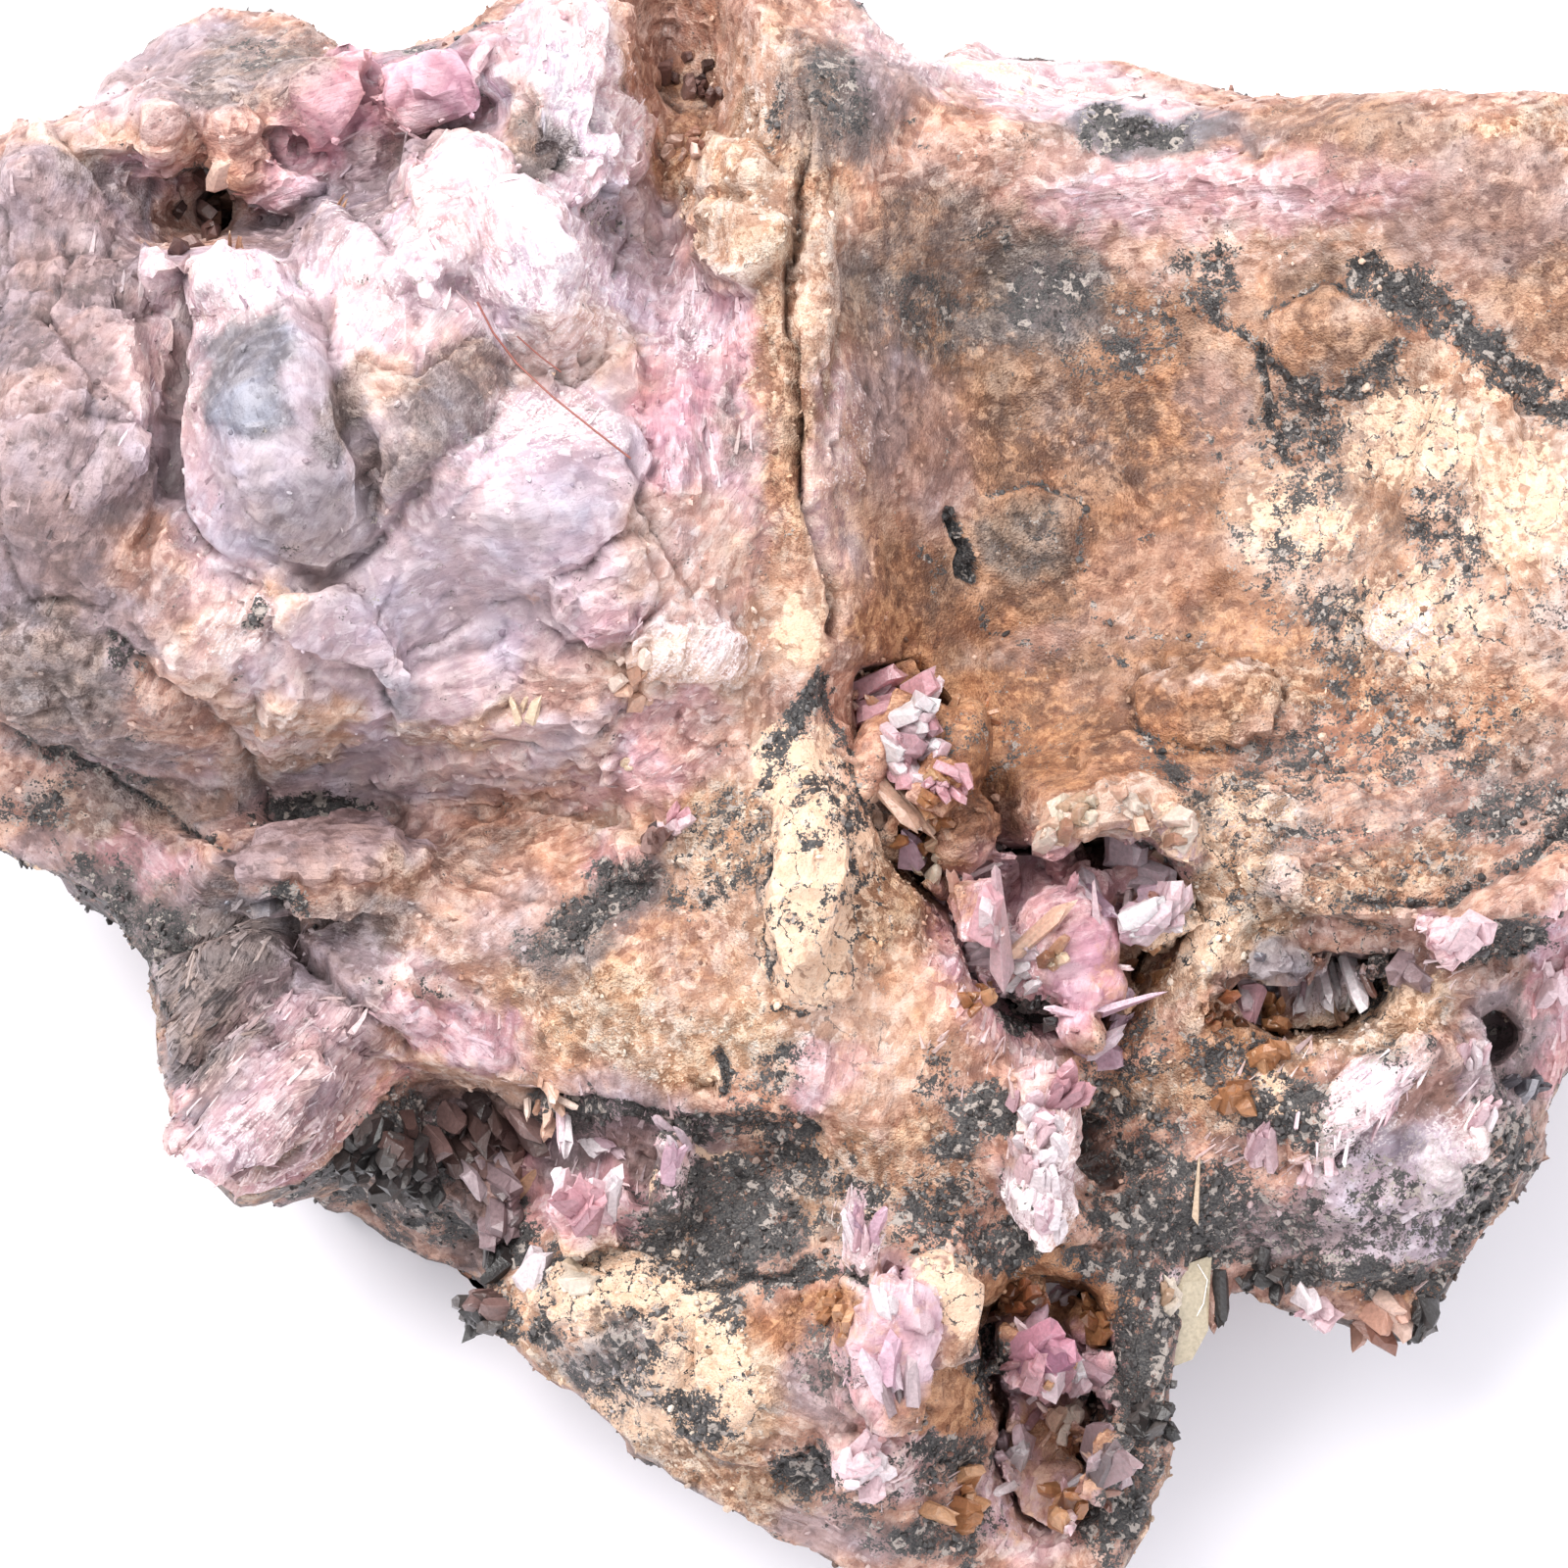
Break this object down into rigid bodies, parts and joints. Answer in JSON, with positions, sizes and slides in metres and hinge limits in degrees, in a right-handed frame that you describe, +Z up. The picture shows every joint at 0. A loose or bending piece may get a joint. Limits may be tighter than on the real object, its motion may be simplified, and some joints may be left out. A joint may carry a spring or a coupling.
{
  "type": "inesite specimen",
  "caption": "Natural hand specimen of pink fibrous inesite with tan and cream crusts, a black matrix and small crystal-lined hollows; rests on a flat cut base.",
  "frame": {"origin": "middle of the specimen's bounding box, on the surface that it rests on", "axes": "+X to the right as the face is looked at, +Y to the back, +Z up through the face"},
  "size_m": [0.0784, 0.0698, 0.0335],
  "materials": {
    "rock": "rough, fibrous and chipped",
    "pink_crystals": "translucent, glassy faces",
    "stained_crystals": "translucent with rusty stains",
    "pale_crystals": "silky, bladed"
  },
  "bodies": {
    "root": {"specimen_body": "rock", "cavity_crystals": "pink_crystals", "lower_vug_crystals": "stained_crystals", "right_pit_crystals": "pale_crystals"}
  },
  "joints": []
}
